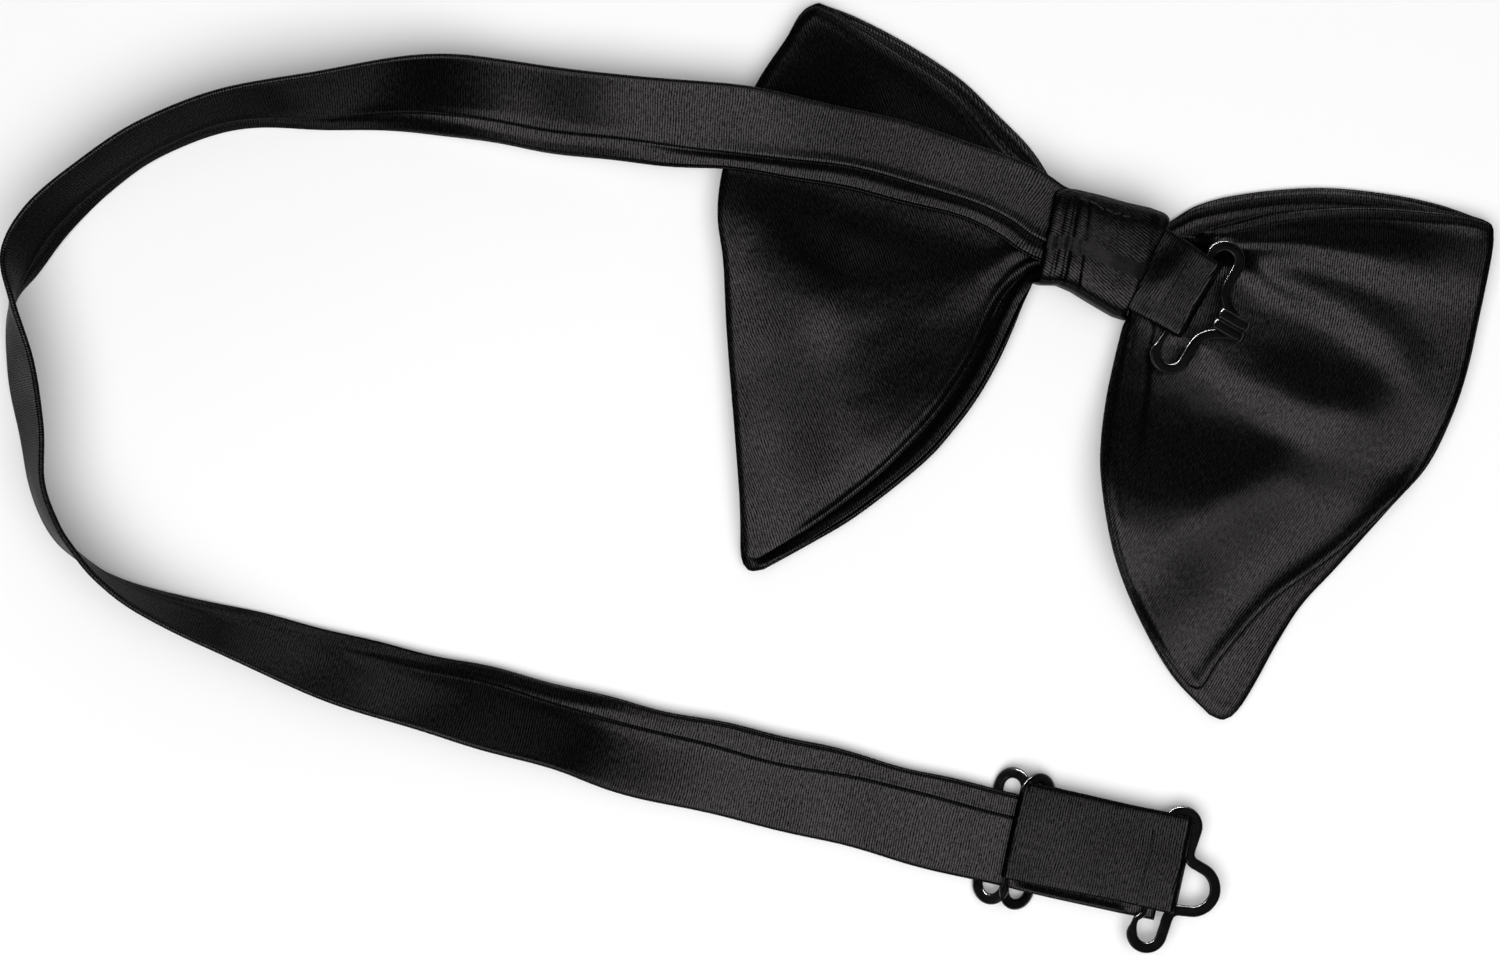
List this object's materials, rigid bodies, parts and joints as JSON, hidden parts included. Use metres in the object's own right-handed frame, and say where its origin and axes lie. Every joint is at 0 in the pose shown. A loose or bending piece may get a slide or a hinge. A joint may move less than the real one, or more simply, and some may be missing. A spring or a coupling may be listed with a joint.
{
  "type": "bow tie",
  "caption": "Oversized pre-tied satin bow tie with drooping two-leaf wings, a sewn knot, an adjustable neck strap with slider, and a hook and eye.",
  "frame": {"origin": "centre of the knot's flat front face, on the plane that the bow tie rests on", "axes": "+X along the bow towards the hook side, +Y towards the bow's top edge, +Z out of the back of the bow, towards the wearer's neck"},
  "size_m": [0.302, 0.1731, 0.0207],
  "materials": {
    "satin": "black satin with a fine diagonal twill and a soft sheen",
    "interlining": "unbleached woven canvas",
    "thread": "black sewing thread",
    "lacquered_wire": "black lacquered flattened steel wire, glossy"
  },
  "bodies": {
    "bow": {"left_rear_leaf_back_ply": "satin", "left_rear_leaf_interlining": "interlining", "left_rear_leaf_front_ply": "satin", "left_front_leaf_back_ply": "satin", "left_front_leaf_interlining": "interlining", "left_front_leaf_front_ply": "satin", "right_rear_leaf_back_ply": "satin", "right_rear_leaf_interlining": "interlining", "right_rear_leaf_front_ply": "satin", "right_front_leaf_back_ply": "satin", "right_front_leaf_interlining": "interlining", "right_front_leaf_front_ply": "satin", "knot_wrap": "satin", "knot_interlining": "interlining", "waist_thread": "thread", "knot_stitches": "thread"},
    "band": {"neck_strap_cover": "satin", "neck_strap_interlining": "interlining", "strap_return": "satin", "strap_return_stitches": "thread"},
    "slider": {"slider": "lacquered_wire", "slider_fold": "satin", "slider_fold_stitches": "thread"},
    "eye": {"eye": "lacquered_wire"},
    "tab": {"tab_strap": "satin", "tab_stitches": "thread"},
    "hook": {"hook": "lacquered_wire"}
  },
  "joints": [
    {"name": "band_lift", "type": "hinge", "parent": "bow", "child": "band", "pos_m": [-0.0119, 0.002, 0.011], "axis": [0, 1, 0], "range_deg": [0, 75]},
    {"name": "slider_slide", "type": "slide", "parent": "band", "child": "slider", "axis": [-0.9954, -0.0958, 0], "range_m": [-0.015, 0.05], "deforming": ["strap_return"]},
    {"name": "eye_hinge", "type": "hinge", "parent": "band", "child": "eye", "pos_m": [0.05291, -0.1228, 0.004], "axis": [-0.0087, 1, 0], "range_deg": [-80, 80]},
    {"name": "tab_flex", "type": "hinge", "parent": "bow", "child": "tab", "pos_m": [0.0109, -0.0009, 0.01145], "axis": [0, -1, 0], "range_deg": [0, 70]},
    {"name": "hook_hinge", "type": "hinge", "parent": "tab", "child": "hook", "pos_m": [0.02034, -0.00291, 0.01035], "axis": [-0.2079, -0.9781, 0], "range_deg": [0, 110]}
  ]
}
